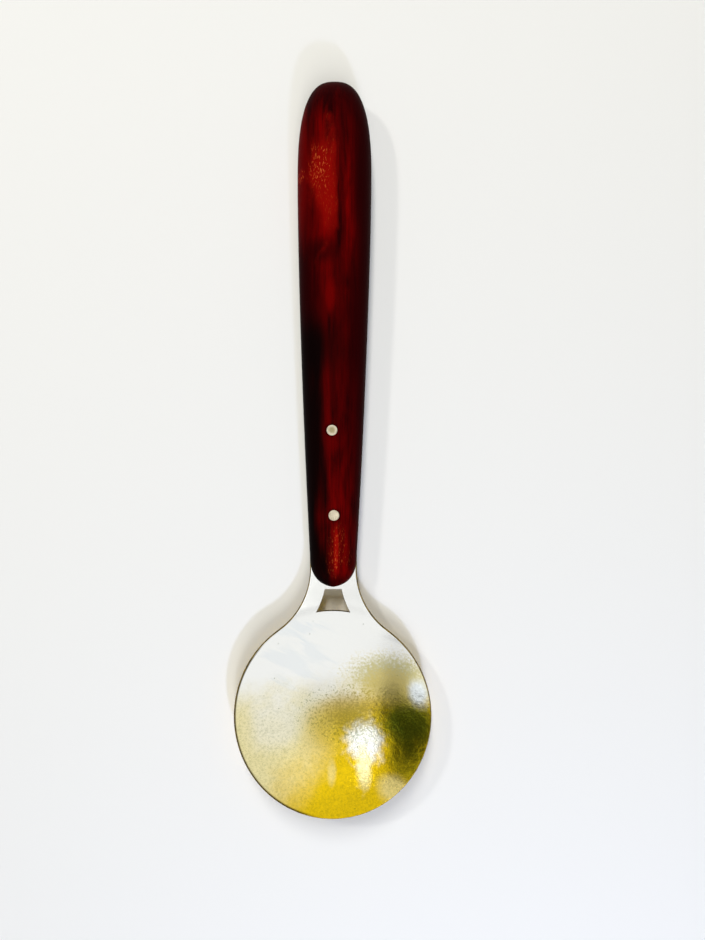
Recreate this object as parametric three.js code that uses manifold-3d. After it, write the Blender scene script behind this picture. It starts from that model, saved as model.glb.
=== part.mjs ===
// A coffee spoon: a pressed metal bowl with a forked neck and a flat tang, held in a
// slotted wooden handle by two rivets. Millimetres, +Z up. The spoon lies face up on the
// plane z = 0 with its bowl towards -Y, and the origin is under the middle of its length.
import * as THREE from 'three';
import { LoftGeometry } from 'three/addons/geometries/LoftGeometry.js';
import { mergeVertices } from 'three/addons/utils/BufferGeometryUtils.js';
import Module from 'manifold-3d';

// Metal sheet and bowl
const SHEET_THICKNESS = 1.2;
const BOWL_WIDTH = 45;
const BOWL_LENGTH = 45.6;
const BOWL_DEPTH = 6.1; // from the rim down to the inside of the bottom, at the middle
const BOWL_FOOT = 10; // across the flat that the bowl stands on
const BOWL_CURVE = 2; // power by which the bowl rises from its foot to its rim
const RIM_TILT = 4.5; // degrees by which the rim rises towards the tip

// Forked neck
const NECK_LENGTH = 6.45; // from the rim to the front end of the handle
const NECK_FILLET = 17.5; // radius of the sides that sweep from the tang into the rim
const ARM_WIDTH = 4.05; // each arm of the fork, beside the window
const WINDOW_LAND = 0.95; // metal left between the window and the end of the handle
const WINDOW_SILL = 0.6; // metal left between the rim and the window

// Wooden handle
const HANDLE_LENGTH = 114.45;
const HANDLE_WIDTH = 16.85; // at the swell
const HANDLE_THICKNESS = 12; // at the swell
const FRONT_WIDTH = 10.75;
const FRONT_THICKNESS = 8.6;
const FRONT_EDGE = 4.6; // height of the end wall at the very front
const FRONT_ROUND = 6.8; // length of the rounded front end
const SWELL_FROM_BUTT = 22.2;
const BUTT_NOSE = 12; // length over which the thickness rounds off at the butt
const FRONT_CURVE = 2.3; // power of the rounded front end, seen from above
const TAPER_CURVE = 1.5; // power by which the handle widens from its front to the swell
const BUTT_CURVE = 2.65; // power of the rounded butt, seen from above
const NOSE_CURVE = 2.2; // power of the rounded butt, seen from the side
const SECTION_CURVE = 2.4; // power of the oval section, where 2 is an ellipse

// Rivets and the fits around them
const RIVET_DIAMETER = 2.45;
const RIVET_PROUD = 0.1; // rivet end above the wood
const RIVET_EDGE = 0.2; // rounding of the rivet's rim
const FRONT_RIVET_FROM_END = 16.35;
const RIVET_SPACING = 19;
const FRONT_RIVET_OFFSET = 0.19; // to the side of the centre line, as drilled by hand
const REAR_RIVET_OFFSET = -0.28;
const RIVET_CLEARANCE = 0.12; // around the rivet, in the wood and in the tang
const TANG_PAST_RIVET = 10; // tang behind the rear rivet
const SLOT_CLEARANCE = 0.12; // on each side of the tang, and behind its end

// Mesh fineness
const ACROSS_STEPS = 18;
const TIP_STEPS = 13;
const BOWL_STEPS = 12;
const NECK_STEPS = 8;
const TANG_STEPS = 6;
const OVAL_STEPS = 28;
const FRONT_STEPS = 8;
const TAPER_STEPS = 14;
const BUTT_STEPS = 12;
const RIVET_SIDES = 24;
const ARC_STEPS = 8;
const SMALL_ANGLE = THREE.MathUtils.degToRad(2.5); // where the first and last sections start
const CUT_PAST = 3; // how far a cutting shape runs past what it cuts
const SLOPE_STEP = 0.01; // distance over which the sheet's slope is measured
const HALVINGS = 50; // halvings of the range in which an angle is sought

// Finishes
const METAL = { color: 0xd9d2b4, roughness: 0.3, metalness: 1 };
const WOOD = { color: 0x4c0a06, roughness: 0.4, metalness: 0 };
const RIVET_METAL = { color: 0xdccfb2, roughness: 0.35, metalness: 1 };

const halfWidth = BOWL_WIDTH / 2;
const halfLength = BOWL_LENGTH / 2;
const rimSlope = Math.tan(THREE.MathUtils.degToRad(RIM_TILT));
const handleFront = halfLength + NECK_LENGTH;
const rearRivetFromEnd = FRONT_RIVET_FROM_END + RIVET_SPACING;
const tangLength = rearRivetFromEnd + TANG_PAST_RIVET;

// The share of full size left at a distance from a rounded end.
function roundedEnd(distance, depth, power) {
  const left = 1 - THREE.MathUtils.clamp(distance / depth, 0, 1);
  return (1 - left ** power) ** (1 / power);
}

// A size that widens from the handle's front end to its swell.
function taper(along, front, swell) {
  const length = HANDLE_LENGTH - SWELL_FROM_BUTT - FRONT_ROUND;
  const left = 1 - THREE.MathUtils.clamp((along - FRONT_ROUND) / length, 0, 1);
  return swell - (swell - front) * left ** TAPER_CURVE;
}

function handleWidth(along) {
  const front = roundedEnd(along, FRONT_ROUND, FRONT_CURVE);
  const butt = roundedEnd(HANDLE_LENGTH - along, SWELL_FROM_BUTT, BUTT_CURVE);
  return taper(along, FRONT_WIDTH, HANDLE_WIDTH) * front * butt;
}

function handleThickness(along) {
  const wall = (FRONT_THICKNESS - FRONT_EDGE) * (1 - roundedEnd(along, FRONT_ROUND, 2));
  const butt = roundedEnd(HANDLE_LENGTH - along, BUTT_NOSE, NOSE_CURVE);
  return (taper(along, FRONT_THICKNESS, HANDLE_THICKNESS) - wall) * butt;
}

// Distances along the handle, closer together where its ends round off.
function handleStations() {
  const stations = [];
  const swell = HANDLE_LENGTH - SWELL_FROM_BUTT;
  for (let i = 0; i < FRONT_STEPS; i++) {
    const angle = THREE.MathUtils.lerp(SMALL_ANGLE, Math.PI / 2, i / FRONT_STEPS);
    stations.push(FRONT_ROUND * (1 - Math.cos(angle)));
  }
  for (let i = 0; i < TAPER_STEPS; i++) {
    stations.push(THREE.MathUtils.lerp(FRONT_ROUND, swell, i / TAPER_STEPS));
  }
  for (let i = 0; i <= BUTT_STEPS; i++) {
    const angle = THREE.MathUtils.lerp(Math.PI / 2, SMALL_ANGLE, i / BUTT_STEPS);
    stations.push(HANDLE_LENGTH - SWELL_FROM_BUTT * (1 - Math.cos(angle)));
  }
  return stations;
}

// Heights of the middle of the sheet. The handle rises just enough from the neck to
// touch the plane that the bowl stands on.
const footHeight = SHEET_THICKNESS / 2;
const neckHeight = rimHeight(halfLength);
const handleSlope = Math.max(
  ...handleStations().map((along) => (handleThickness(along) / 2 - neckHeight) / along),
);
const handleRise = Math.atan(handleSlope);

function rimHeight(y) {
  return footHeight + BOWL_DEPTH - y * rimSlope;
}

// The neck bends from the slope of the rim to the slope of the handle, as a cubic curve.
function neckBend(y) {
  const share = (y - halfLength) / NECK_LENGTH;
  const leaving = -rimSlope * share * (1 - share) ** 2;
  const arriving = handleSlope * share ** 2 * (share - 1);
  return neckHeight + NECK_LENGTH * (leaving + arriving);
}

function sheetHeight(x, y) {
  if (y > handleFront) return neckHeight + (y - handleFront) * handleSlope;
  if (y > halfLength) return neckBend(y);
  const foot = BOWL_FOOT / BOWL_WIDTH;
  const radius = Math.hypot(x / halfWidth, y / halfLength);
  const rise = THREE.MathUtils.clamp((radius - foot) / (1 - foot), 0, 1) ** BOWL_CURVE;
  return footHeight + (rimHeight(y) - footHeight) * rise;
}

// Half the sheet measured upright, so that it keeps its thickness where it slopes.
function uprightHalf(x, y) {
  const before = SLOPE_STEP / 2;
  const slopeX = (sheetHeight(x + before, y) - sheetHeight(x - before, y)) / SLOPE_STEP;
  const slopeY = (sheetHeight(x, y + before) - sheetHeight(x, y - before)) / SLOPE_STEP;
  return SHEET_THICKNESS / 2 * Math.hypot(1, slopeX, slopeY);
}

// The angle between low and high at which a rising measure reaches its goal.
function solveAngle(measure, goal, low, high) {
  for (let i = 0; i < HALVINGS; i++) {
    const middle = (low + high) / 2;
    if (measure(middle) < goal) low = middle;
    else high = middle;
  }
  return low;
}

// A point of the rim, or of an oval that runs outside it.
function rimPoint(angle, outside = 0) {
  const across = (halfWidth + outside) * Math.cos(angle);
  return new THREE.Vector2(across, (halfLength + outside) * Math.sin(angle));
}

// The point beside the rim that lies one fillet radius outside it.
function besideRim(angle) {
  const outward = new THREE.Vector2(halfLength * Math.cos(angle), halfWidth * Math.sin(angle));
  return rimPoint(angle).addScaledVector(outward.normalize(), NECK_FILLET);
}

// The neck's side is an arc that touches the tang's side and the rim.
const sideX = FRONT_WIDTH / 2 + NECK_FILLET;
const touchAngle = solveAngle((angle) => -besideRim(angle).x, -sideX, 0, Math.PI / 2);
const filletCentre = besideRim(touchAngle);
const filletStart = rimPoint(touchAngle).y;

function bladeHalfWidth(y) {
  if (y < filletStart) return halfWidth * Math.sqrt(1 - (y / halfLength) ** 2);
  const side = taper(y - handleFront, FRONT_WIDTH, HANDLE_WIDTH) / 2;
  const before = Math.max(filletCentre.y - y, 0);
  return side + NECK_FILLET - Math.sqrt(NECK_FILLET ** 2 - before ** 2);
}

function bladeStations() {
  const tangEnd = handleFront + tangLength * Math.cos(handleRise);
  const stations = [];
  for (let i = 0; i < TIP_STEPS; i++) {
    const angle = THREE.MathUtils.lerp(SMALL_ANGLE, Math.PI / 2, i / TIP_STEPS);
    stations.push(-halfLength * Math.cos(angle));
  }
  for (let i = 0; i < BOWL_STEPS; i++) stations.push(halfLength * i / BOWL_STEPS);
  for (let i = 0; i < NECK_STEPS; i++) {
    stations.push(THREE.MathUtils.lerp(halfLength, filletCentre.y, i / NECK_STEPS));
  }
  for (let i = 0; i <= TANG_STEPS; i++) {
    stations.push(THREE.MathUtils.lerp(filletCentre.y, tangEnd, i / TANG_STEPS));
  }
  return stations;
}

// One ring around the sheet: across its top from left to right, and back underneath.
function bladeSection(y) {
  const top = [];
  const bottom = [];
  for (let i = 0; i <= ACROSS_STEPS; i++) {
    const x = bladeHalfWidth(y) * (2 * i / ACROSS_STEPS - 1);
    const middle = sheetHeight(x, y);
    const half = uprightHalf(x, y);
    top.push(new THREE.Vector3(x, y, middle + half));
    bottom.unshift(new THREE.Vector3(x, y, middle - half));
  }
  return top.concat(bottom);
}

// The oval section of the handle, in the handle's own frame.
function handleSection(along) {
  const points = [];
  const power = 2 / SECTION_CURVE;
  for (let i = 0; i < OVAL_STEPS; i++) {
    const angle = 2 * Math.PI * i / OVAL_STEPS;
    const across = Math.sign(Math.cos(angle)) * Math.abs(Math.cos(angle)) ** power;
    const up = Math.sign(Math.sin(angle)) * Math.abs(Math.sin(angle)) ** power;
    const x = -across * handleWidth(along) / 2;
    points.push(new THREE.Vector3(x, along, up * handleThickness(along) / 2));
  }
  return points;
}

const wasm = await Module();
wasm.setup();

function toSolid(geometry) {
  const bare = new THREE.BufferGeometry();
  bare.setAttribute('position', geometry.attributes.position);
  bare.setIndex(geometry.index);
  const merged = mergeVertices(bare);
  const vertProperties = new Float32Array(merged.attributes.position.array);
  const triVerts = new Uint32Array(merged.index.array);
  return new wasm.Manifold(new wasm.Mesh({ numProp: 3, vertProperties, triVerts }));
}

function toGeometry(solid) {
  const mesh = solid.getMesh();
  const geometry = new THREE.BufferGeometry();
  geometry.setAttribute('position', new THREE.BufferAttribute(mesh.vertProperties, 3));
  geometry.setIndex(new THREE.BufferAttribute(mesh.triVerts, 1));
  geometry.computeVertexNormals();
  return geometry;
}

function cut(geometry, cutters) {
  let solid = toSolid(geometry);
  for (const cutter of cutters) solid = solid.subtract(toSolid(cutter));
  return toGeometry(solid);
}

// The window between the arms of the fork: its sides run beside the neck's own sides, its
// lower edge runs along the rim, and its upper edge is straight.
function windowCutter() {
  const radius = NECK_FILLET + ARM_WIDTH;
  const reach = (angle) => rimPoint(angle, WINDOW_SILL).distanceTo(filletCentre);
  const corner = solveAngle(reach, radius, touchAngle, Math.PI / 2);
  const low = rimPoint(corner, WINDOW_SILL);
  const topY = handleFront - WINDOW_LAND;
  const topX = filletCentre.x - Math.sqrt(radius ** 2 - (topY - filletCentre.y) ** 2);
  const from = Math.atan2(topY - filletCentre.y, topX - filletCentre.x);
  const to = Math.atan2(low.y - filletCentre.y, low.x - filletCentre.x);
  const shape = new THREE.Shape();
  shape.moveTo(-topX, topY);
  shape.lineTo(topX, topY);
  shape.absarc(filletCentre.x, filletCentre.y, radius, from, to, false);
  const [sillX, sillY] = [halfWidth + WINDOW_SILL, halfLength + WINDOW_SILL];
  shape.absellipse(0, 0, sillX, sillY, corner, Math.PI - corner, false, 0);
  shape.absarc(-filletCentre.x, filletCentre.y, radius, Math.PI - to, Math.PI - from, false);
  const depth = SHEET_THICKNESS + 2 * CUT_PAST;
  const settings = { depth, bevelEnabled: false, curveSegments: ARC_STEPS };
  return new THREE.ExtrudeGeometry(shape, settings).translate(0, 0, neckHeight - depth / 2);
}

// The place of a rivet in the handle's own frame, and the hole drilled for it.
const rivetPlaces = {
  front_rivet: new THREE.Vector3(FRONT_RIVET_OFFSET, FRONT_RIVET_FROM_END, 0),
  rear_rivet: new THREE.Vector3(REAR_RIVET_OFFSET, rearRivetFromEnd, 0),
};

function rivetHole(place) {
  const radius = RIVET_DIAMETER / 2 + RIVET_CLEARANCE;
  const length = handleThickness(place.y) + 2 * CUT_PAST;
  const hole = new THREE.CylinderGeometry(radius, radius, length, RIVET_SIDES);
  return hole.rotateX(Math.PI / 2).translate(...place);
}

function rivetGeometry(place) {
  const radius = RIVET_DIAMETER / 2;
  const half = handleThickness(place.y) / 2 + RIVET_PROUD;
  const profile = [
    new THREE.Vector2(0, -half),
    new THREE.Vector2(radius - RIVET_EDGE, -half),
    new THREE.Vector2(radius, RIVET_EDGE - half),
    new THREE.Vector2(radius, half - RIVET_EDGE),
    new THREE.Vector2(radius - RIVET_EDGE, half),
    new THREE.Vector2(0, half),
  ];
  return new THREE.LatheGeometry(profile, RIVET_SIDES).rotateX(Math.PI / 2).translate(...place);
}

// The saw cut for the tang, open at the front end and at both sides.
function slotCutter() {
  const length = tangLength + SLOT_CLEARANCE + CUT_PAST;
  const height = SHEET_THICKNESS + 2 * SLOT_CLEARANCE;
  const slot = new THREE.BoxGeometry(HANDLE_WIDTH + 2 * CUT_PAST, length, height);
  return slot.translate(0, length / 2 - CUT_PAST, 0);
}

function loft(sections) {
  return new LoftGeometry(sections, { capStart: true, capEnd: true });
}

function piece(name, geometry, finish) {
  const mesh = new THREE.Mesh(geometry, new THREE.MeshStandardMaterial(finish));
  mesh.name = name;
  return mesh;
}

// The handle and the rivets are made along the tang and placed with it.
const grip = new THREE.Group();
grip.position.set(0, handleFront, neckHeight);
grip.rotation.x = handleRise;
grip.updateMatrix();

const holes = Object.values(rivetPlaces).map(rivetHole);
const handleLoft = loft(handleStations().map(handleSection));
grip.add(piece('handle', cut(handleLoft, [slotCutter(), ...holes]), WOOD));
for (const [name, place] of Object.entries(rivetPlaces)) {
  grip.add(piece(name, rivetGeometry(place), RIVET_METAL));
}

const bladeLoft = loft(bladeStations().map(bladeSection));
const tangHoles = holes.map((hole) => hole.clone().applyMatrix4(grip.matrix));
const blade = piece('spoon_blade', cut(bladeLoft, [windowCutter(), ...tangHoles]), METAL);

const spoon = new THREE.Group();
spoon.add(blade, grip);
spoon.position.y = (halfLength - handleFront - HANDLE_LENGTH * Math.cos(handleRise)) / 2;

export default spoon;
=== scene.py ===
"""Looks of the coffee spoon: a plated brass blade, a dark red wooden handle and two rivets.

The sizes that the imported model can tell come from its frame, in metres. The others are the
settings below, with the same values as the solids, so each surface lies on its solid.
"""

import math

import bpy
import numpy as np
from mathutils import Matrix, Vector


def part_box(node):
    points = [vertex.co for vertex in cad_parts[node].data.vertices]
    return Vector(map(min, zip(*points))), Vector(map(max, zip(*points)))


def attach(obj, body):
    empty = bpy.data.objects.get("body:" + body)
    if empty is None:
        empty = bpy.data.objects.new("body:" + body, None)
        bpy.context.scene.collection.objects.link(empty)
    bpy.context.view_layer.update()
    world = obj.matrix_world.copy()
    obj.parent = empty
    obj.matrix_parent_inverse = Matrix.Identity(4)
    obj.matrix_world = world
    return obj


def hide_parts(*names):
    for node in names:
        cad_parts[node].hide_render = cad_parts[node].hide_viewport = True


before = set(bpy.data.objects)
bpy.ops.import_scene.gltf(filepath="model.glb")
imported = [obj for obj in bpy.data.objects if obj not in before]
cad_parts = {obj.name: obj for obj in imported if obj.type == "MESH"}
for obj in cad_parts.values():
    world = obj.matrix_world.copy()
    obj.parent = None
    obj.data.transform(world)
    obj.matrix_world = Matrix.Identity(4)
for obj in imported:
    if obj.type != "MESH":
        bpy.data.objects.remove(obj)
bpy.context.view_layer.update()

MM = 0.001
MERGE = 0.0005 * MM  # points closer than this are made one
SLACK = 0.001 * MM  # allowed between places that should agree
THROUGH = 40  # millimetres, past both sides of any piece
HALVINGS = 60  # of the range in which an angle is sought
SENSOR_HEIGHT = 36  # millimetres
PICTURE_HEIGHT = 940  # pixels

# Rows, columns and steps of the grids
END_ROWS, SPAN_ROWS, SHELL_POINTS = 40, 90, 73
WEDGE_STEPS, SILL_STEPS, RIM_STEPS, RINGS = 25, 17, 181, 50
WINDOW_ROWS, NECK_ROWS, TANG_ROWS, ARM_COLUMNS, STRIP_COLUMNS = 21, 11, 41, 15, 13
EDGE_STEPS, RIVET_RIM_STEPS, RIVET_END_STEPS, RIVET_SIDES = 11, 9, 13, 65

bl_info = {
    "name": "Coffee Spoon",
    "version": (1, 0, 0),
    "blender": (4, 5, 0),
    "location": "View3D > Sidebar > Spoon",
    "description": "Builds the surfaces, finishes and stage of a riveted coffee spoon",
    "category": "Mesh",
}


def number(label, words, value, **kind):
    """A number setting, with a unit or subtype where one fits."""
    return bpy.props.FloatProperty(name=label, description=words, default=value, **kind)


def length(label, words, millimetres):
    """A length setting whose default is given in millimetres."""
    return number(label, words, millimetres * MM, unit="LENGTH", precision=5)


def colour(label, words, code):
    """A colour setting whose default is an sRGB hex code."""
    return bpy.props.FloatVectorProperty(
        name=label, description=words, default=linear(code), subtype="COLOR", size=4, min=0, max=1
    )


def linear(code):
    """Linear RGBA of an sRGB hex code such as "#d8c48a"."""
    parts = [int(code[i:i + 2], 16) / 255 for i in (1, 3, 5)]
    return tuple(c / 12.92 if c <= 0.04045 else ((c + 0.055) / 1.055) ** 2.4 for c in parts) + (1.0,)


class BladeSettings(bpy.types.PropertyGroup):
    """Sizes and colours of the bowl, neck and tang."""

    sheet: length("Sheet", "Thickness of the metal", 1.2)
    bowl_length: length("Bowl length", "Bowl from tip to neck, at the rim", 45.6)
    bowl_depth: length("Bowl depth", "From the rim down to the inside of the bottom", 6.1)
    foot: length("Foot", "Across the flat that the bowl stands on", 10)
    bowl_curve: number("Bowl curve", "Power by which the bowl rises to its rim", 2)
    rim_tilt: number("Rim tilt", "How far the rim rises towards the tip", math.radians(4.5),
                     subtype="ANGLE")
    fillet: length("Neck fillet", "Radius of the neck's sides", 17.5)
    arm: length("Arm width", "Each arm of the fork beside the window", 4.05)
    land: length("Window land", "Metal between the window and the handle", 0.95)
    sill: length("Window sill", "Metal between the rim and the window", 0.6)
    crease: number("Neck crease", "Share of the depth over which neck and bowl blend", 0.3)
    dish: number("Dish", "Share of the bowl's radius over which its inside turns flat", 0.2)
    dish_curve: number("Dish curve", "Power by which the inside rises", 2.2)
    edge: length("Edge", "Rounding of the sheet's outer edges", 0.28)
    window_edge: length("Window edge", "Rounding of the window's edges", 0.1)
    # Pale plating, and also a painted bright reflection on the neck and upper bowl and at the hot spot
    plating_and_painted_reflection: colour("Plate", "Pale plating of the neck and upper bowl", "#f1f2ef")
    # Thin plating, also the tone of painted highlights: the hot spot's tail and a second small glint
    cream: colour("Thin plate", "Plating that lets the brass show through", "#e7dca6")
    brass: colour("Brass", "Brass that shows where the plating is worn", "#ddba12")
    # Tarnished brass, also the tone of a painted dark reflection on the right of the bowl
    tarnish_and_painted_dark_reflection: colour("Tarnish", "Darkened brass", "#42601a")
    # Cool wipe marks, also the tone of a painted window reflection at the right rim
    haze_and_painted_window_reflection: colour("Haze", "Cool wipe marks on the plating", "#dbe3e8")
    # Dull brass of the filed edge, also the tone of the painted dark line along the rim
    cut: colour("Cut edge", "Dull brass of the sheet's edge", "#40350f")
    under: colour("Underside", "Dull brass of the sheet's underside", "#b3963c")


class HandleSettings(bpy.types.PropertyGroup):
    """Sizes and colours of the wooden handle."""

    front_width: length("Front width", "Width behind the rounded front end", 10.75)
    front_thickness: length("Front thickness", "Thickness behind the front end", 8.6)
    front_edge: length("Front edge", "Height of the end wall at the very front", 4.6)
    front_round: length("Front round", "Length of the rounded front end", 6.8)
    thickness: length("Thickness", "Thickness at the swell", 12)
    swell: length("Swell", "From the widest place to the end of the butt", 22.2)
    nose: length("Nose", "Length over which the butt rounds off, seen from the side", 12)
    front_curve: number("Front curve", "Power of the rounded front end from above", 2.3)
    taper_curve: number("Taper curve", "Power by which the handle widens", 1.5)
    butt_curve: number("Butt curve", "Power of the rounded butt from above", 2.65)
    nose_curve: number("Nose curve", "Power of the rounded butt from the side", 2.2)
    section_curve: number("Section curve", "Power of the oval section", 2.4)
    slot_gap: length("Slot gap", "Gap between the wood and the tang", 0.12)
    edge: length("Edge", "Rounding of the cut edges", 0.15)
    red: colour("Red wood", "Lighter wood between the dark bands", "#740202")
    dark: colour("Dark wood", "Dark bands", "#230102")
    # Nearly black along the lower left of the handle, and in the rings round the rivets
    black: colour("Heart streak", "Almost black streak", "#070202")
    flame: colour("Flame", "Bright zones at the butt and the front end", "#900b05")
    fleck: colour("Flecks", "Pale flecks in the open pores", "#d4622e")


class RivetSettings(bpy.types.PropertyGroup):
    """Sizes and colours of the rivets."""

    edge: length("Edge", "Rounding of the rivet's rim", 0.2)
    dish: length("Dish", "Depth of the hollow in the rivet's end", 0.07)
    metal: colour("Rivet metal", "Pale nickel brass", "#d2c8b0")
    grime: colour("Grime", "Dirt in the file marks", "#8f8358")


class StageSettings(bpy.types.PropertyGroup):
    """Colour of the floor, and place and lens of the camera."""

    floor: colour("Floor", "Plain pale floor", "#f3f3f1")
    camera_height: length("Camera height", "Camera above the floor", 170.5)
    camera_x: length("Camera X", "Camera to the right of the spoon's centre line", 4.32)
    camera_y: length("Camera Y", "Camera along the spoon from its middle", -4.75)
    camera_roll: number("Camera roll", "Turn of the picture", math.radians(0.2), subtype="ANGLE")
    focal_pixels: number("Focal length", "Focal length in pixels of a picture 940 high", 720)


class SpoonSettings(bpy.types.PropertyGroup):
    """All settings of the spoon."""

    blade: bpy.props.PointerProperty(type=BladeSettings)
    handle: bpy.props.PointerProperty(type=HandleSettings)
    rivets: bpy.props.PointerProperty(type=RivetSettings)
    stage: bpy.props.PointerProperty(type=StageSettings)


# Places in the frame

def centre(node):
    """Middle of a node's box."""
    low, high = (np.array(corner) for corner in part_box(node))
    return (low + high) / 2


def tang_line():
    """(height of the tang at the handle's front end, its slope), read from the two rivets."""
    front, rear = centre("front_rivet"), centre("rear_rivet")
    slope = (rear[2] - front[2]) / (rear[1] - front[1])
    return front[2] + slope * (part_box("handle")[0][1] - front[1]), slope


# Meshes

def spread(*parts):
    """Points, one to a row, from coordinates that are broadcast together."""
    return np.stack(np.broadcast_arrays(*parts), axis=-1).reshape(-1, len(parts))


def grid_faces(rows, columns):
    """Quads of a grid of points stored row by row; its normal is column step times row step."""
    first = np.arange((rows - 1) * columns).reshape(rows - 1, columns)[:, :-1]
    return np.stack([first, first + 1, first + columns + 1, first + columns], axis=-1).reshape(-1, 4)


def join_blocks(blocks):
    """(points, faces) of several (points, faces) blocks, with points that coincide made one."""
    starts = np.cumsum([0] + [len(points) for points, _ in blocks])
    points = np.concatenate([points for points, _ in blocks])
    faces = np.concatenate([faces + start for (_, faces), start in zip(blocks, starts)])
    _, first, merged = np.unique(
        np.round(points / MERGE), axis=0, return_index=True, return_inverse=True
    )
    faces = merged.reshape(-1)[faces]
    shut = (faces == np.roll(faces, -1, axis=1)).sum(axis=1)
    return points[first], faces[shut < 2]


def polygons(faces):
    """Quads as lists, with the ones that have a side of no length made triangles."""
    shut = faces == np.roll(faces, -1, axis=1)
    found = faces[~shut.any(axis=1)].tolist()
    for side in range(4):
        rows = faces[shut[:, side]]
        found += np.delete(rows, side, axis=1).tolist()
    return found


def add_piece(name, points, faces, node, slot, *materials):
    """A smooth mesh object that stands for a node of the frame and rides on its body."""
    mesh = bpy.data.meshes.new(name)
    mesh.from_pydata(points.tolist(), [], faces)
    mesh.validate()
    mesh.shade_smooth()
    for material in materials:
        mesh.materials.append(material)
    piece = bpy.data.objects.new(name, mesh)
    bpy.context.scene.collection.objects.link(piece)
    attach(piece, "root")
    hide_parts(node)
    return piece


def round_edges(piece, width, segments, angle):
    """Rounds the edges that are sharper than an angle."""
    bevel = piece.modifiers.new("Rounded edges", "BEVEL")
    bevel.width = width
    bevel.segments = segments
    bevel.limit_method = "ANGLE"
    bevel.angle_limit = angle
    bevel.harden_normals = True


# Handle shape

def rounded_end(distance, depth, power):
    """Share of full size at a distance from an end rounded as a superellipse."""
    left = 1 - np.clip(distance / depth, 0, 1)
    return (1 - left ** power) ** (1 / power)


class HandleShape:
    """The handle in its own frame: Y along the tang from the front end, Z up from the tang."""

    def __init__(self, settings, blade):
        low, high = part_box("handle")
        self.settings = settings
        self.front_height, self.slope = tang_line()
        self.front = low[1]
        self.width = high[0] - low[0]
        self.length = (high[1] - low[1]) * math.hypot(1, self.slope)
        self.tang = (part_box("spoon_blade")[1][1] - low[1]) * math.hypot(1, self.slope)
        self.slot = blade.sheet / 2 + settings.slot_gap

    def taper(self, along, front, swell):
        """Grows from front to swell, fast at first, as a power of the way that is left."""
        s = self.settings
        way = self.length - s.swell - s.front_round
        left = 1 - np.clip((along - s.front_round) / way, 0, 1)
        return swell - (swell - front) * left ** s.taper_curve

    def half_width(self, along):
        """Half the tapered width, rounded off at both ends."""
        s = self.settings
        front = rounded_end(along, s.front_round, s.front_curve)
        butt = rounded_end(self.length - along, s.swell, s.butt_curve)
        return self.taper(along, s.front_width, self.width) * front * butt / 2

    def half_thickness(self, along):
        """Half the tapered thickness, less an eased front edge, rounded off at the butt."""
        s = self.settings
        wall = (s.front_thickness - s.front_edge) * (1 - rounded_end(along, s.front_round, 2))
        butt = rounded_end(self.length - along, s.nose, s.nose_curve)
        return (self.taper(along, s.front_thickness, s.thickness) - wall) * butt / 2

    def place(self, x, along, z):
        """Points in the part's frame, from the handle's own."""
        turn = math.atan(self.slope)
        y = self.front + along * math.cos(turn) - z * math.sin(turn)
        up = self.front_height + along * math.sin(turn) + z * math.cos(turn)
        return spread(x, y, up)


def handle_mesh(shape):
    """The handle as superellipse sections carried along its axis, with the tang's slot left open.

    A section is |x / half width| ** n + |z / half thickness| ** n = 1. An upper and a lower
    shell run round it down to the slot's height; behind the tang two side bands join them.
    """
    s = shape.settings
    # The first and last rows lie just inside the ends, where a section would shrink to nothing
    front_turn = np.linspace(0.01, math.pi / 2, END_ROWS)
    butt_turn = np.linspace(math.pi / 2, 0.004, SPAN_ROWS)
    front = s.front_round * (1 - np.cos(front_turn))
    slotted = np.linspace(s.front_round, shape.tang + s.slot_gap, SPAN_ROWS)[1:]
    whole = np.linspace(slotted[-1], shape.length - s.swell, SPAN_ROWS)[1:-1]
    butt = shape.length - s.swell * (1 - np.cos(butt_turn))
    along = np.concatenate([front, slotted, whole, butt])[:, None]
    open_rows = len(front) + len(slotted)

    power = 2 / s.section_curve
    wide, thick = shape.half_width(along), shape.half_thickness(along)
    # Half the slot's height, or less where a section is too thin for it
    side = np.minimum(shape.slot, 0.6 * thick)
    start = np.arcsin((side / thick) ** (1 / power))
    angle = start + (math.pi - 2 * start) * np.linspace(0, 1, SHELL_POINTS)
    x = -wide * np.sign(np.cos(angle)) * np.abs(np.cos(angle)) ** power
    z = thick * np.sin(angle) ** power

    def block(across, up, rows=slice(None)):
        across, up = np.broadcast_arrays(across, up)
        points = shape.place(across[rows], along[rows], up[rows])
        return points, grid_faces(len(across[rows]), across.shape[1])

    edges = x[:, [0, -1]]
    in_slot, behind = slice(0, open_rows), slice(open_rows - 1, None)
    blocks = [
        block(x, z),
        block(x[:, ::-1], -z),
        block(edges[:, [1, 1]], side * np.array([1, -1]), behind),
        block(edges[:, [0, 0]], side * np.array([-1, 1]), behind),
        block(edges[:, ::-1], side, in_slot),
        block(edges, -side, in_slot),
    ]
    wall = shape.place(
        edges[open_rows - 1, [0, 1, 1, 0]],
        along[open_rows - 1],
        side[open_rows - 1] * np.array([-1, -1, 1, 1]),
    )
    blocks.append((wall, np.array([[0, 1, 2, 3]])))
    for turn in (1, -1):
        lip = shape.place(x[0, ::-turn], along[0], turn * z[0, ::-turn])
        blocks.append(fan(lip))
    ring_x, ring_z = np.concatenate([x[-1], x[-1, ::-1]]), np.concatenate([z[-1], -z[-1]])
    blocks.append(fan(shape.place(ring_x, along[-1], ring_z)))
    points, faces = join_blocks(blocks)
    return points, polygons(faces)


def fan(ring):
    """A flat cap: the ring of points joined to its middle."""
    points = np.concatenate([ring, ring.mean(axis=0, keepdims=True)])
    here = np.arange(len(ring))
    after = np.roll(here, -1)
    hub = np.full_like(here, len(ring))
    return points, np.stack([here, after, hub, hub], axis=-1)


# Blade shape

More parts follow.
